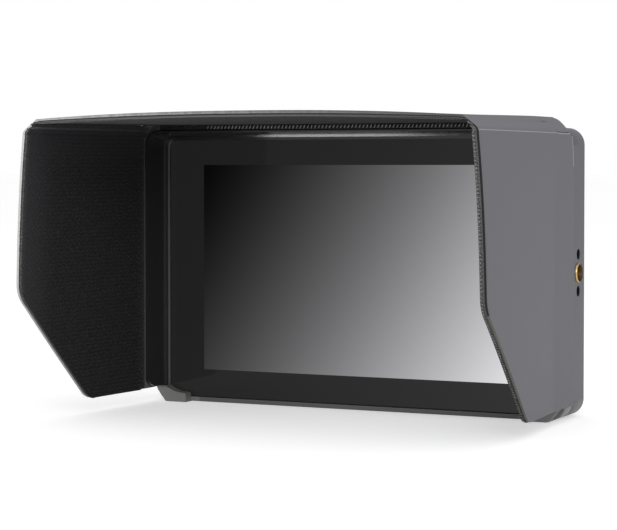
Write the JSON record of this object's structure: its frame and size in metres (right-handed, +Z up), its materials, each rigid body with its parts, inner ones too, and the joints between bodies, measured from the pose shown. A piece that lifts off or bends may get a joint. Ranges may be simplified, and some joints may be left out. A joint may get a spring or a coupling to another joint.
{
  "type": "field monitor with folding sun hood",
  "caption": "Flat camera field monitor with a metal housing and a fold-out sun hood: two hinged side flaps and a hinged top clipped on a frame.",
  "frame": {"origin": "centre of the threaded insert in the underside, at its mouth, in the plane of the housing's underside", "axes": "+X to the viewer's right across the screen, +Y away from the viewer, +Z up"},
  "size_m": [0.2026, 0.143, 0.1296],
  "materials": {
    "housing": "satin",
    "screen_glass": "gloss",
    "black_plastic": "satin",
    "matte_black": "matte",
    "hood_skin": "matte",
    "hood_board": "matte",
    "velour": "matte",
    "brass": "satin",
    "steel": "satin",
    "dark_steel": "satin",
    "circuit_board": "satin",
    "display_layers": "gloss",
    "tape": "matte",
    "pad_rubber": "matte"
  },
  "bodies": {
    "monitor": {"front_frame": "housing", "rear_shell": "housing", "cover_glass": "screen_glass", "glass_tape": "tape", "lcd_panel": "display_layers", "light_guide": "display_layers", "led_bar": "display_layers", "backlight_tray": "steel", "chassis_plate": "steel", "chassis_screws": "steel", "board_standoffs": "brass", "main_board": "circuit_board", "board_screws": "steel", "display_ribbon": "matte_black", "thermal_pad": "tape", "heat_sink": "steel", "thread_inserts": "brass", "hdmi_sockets": "steel", "usb_socket": "steel", "dc_socket": "matte_black", "headphone_socket": "matte_black", "key_board": "circuit_board", "battery_plate": "matte_black", "plate_screws": "steel", "battery_contacts": "brass", "case_screws": "dark_steel", "rear_pads": "pad_rubber"},
    "left_flap": {"left_flap_cover": "hood_skin", "left_flap_board": "hood_board", "left_flap_lining": "velour"},
    "right_flap": {"right_flap_cover": "hood_skin", "right_flap_board": "hood_board", "right_flap_lining": "velour"},
    "hood_top": {"top_cover": "hood_skin", "top_board": "hood_board", "top_lining": "velour"},
    "left_tab": {"left_tab": "hood_skin"},
    "right_tab": {"right_tab": "hood_skin"},
    "power_button": {"power_button": "matte_black"},
    "menu_button": {"menu_button": "matte_black"},
    "function_button": {"function_button": "matte_black"},
    "battery_latch": {"battery_latch": "matte_black"},
    "hood": {"hood_frame": "black_plastic", "frame_lining": "velour", "left_side_band": "hood_skin", "right_side_band": "hood_skin", "top_band": "hood_skin"}
  },
  "joints": [
    {"name": "hood_pull", "type": "slide", "parent": "monitor", "child": "hood", "axis": [0, -1, 0], "range_m": [0, 0.03]},
    {"name": "left_flap_fold", "type": "hinge", "parent": "hood", "child": "left_flap", "pos_m": [-0.0996, -0.035, 0.064], "axis": [0, 0, 1], "range_deg": [-60, 90.6]},
    {"name": "right_flap_fold", "type": "hinge", "parent": "hood", "child": "right_flap", "pos_m": [0.0996, -0.035, 0.064], "axis": [0, 0, -1], "range_deg": [-60, 90.6]},
    {"name": "top_fold", "type": "hinge", "parent": "hood", "child": "hood_top", "pos_m": [0, -0.041, 0.1287], "axis": [1, 0, 0], "range_deg": [0, 90]},
    {"name": "left_tab_fold", "type": "hinge", "parent": "left_flap", "child": "left_tab", "pos_m": [-0.09993, -0.08, 0.12287], "axis": [0, 1, 0], "range_deg": [-41, 0]},
    {"name": "right_tab_fold", "type": "hinge", "parent": "right_flap", "child": "right_tab", "pos_m": [0.09993, -0.08, 0.12287], "axis": [0, -1, 0], "range_deg": [-41, 0]},
    {"name": "power_press", "type": "slide", "parent": "monitor", "child": "power_button", "axis": [0, 0, -1], "range_m": [0, 0.0004], "stiffness_N_per_m": 1500, "springref_m": -0.0002},
    {"name": "menu_press", "type": "slide", "parent": "monitor", "child": "menu_button", "axis": [0, 0, -1], "range_m": [0, 0.0004], "stiffness_N_per_m": 1500, "springref_m": -0.0002},
    {"name": "function_press", "type": "slide", "parent": "monitor", "child": "function_button", "axis": [0, 0, -1], "range_m": [0, 0.0004], "stiffness_N_per_m": 1500, "springref_m": -0.0002},
    {"name": "latch_press", "type": "slide", "parent": "monitor", "child": "battery_latch", "axis": [0, -1, 0], "range_m": [0, 0.0015], "stiffness_N_per_m": 900, "springref_m": -0.00075}
  ]
}
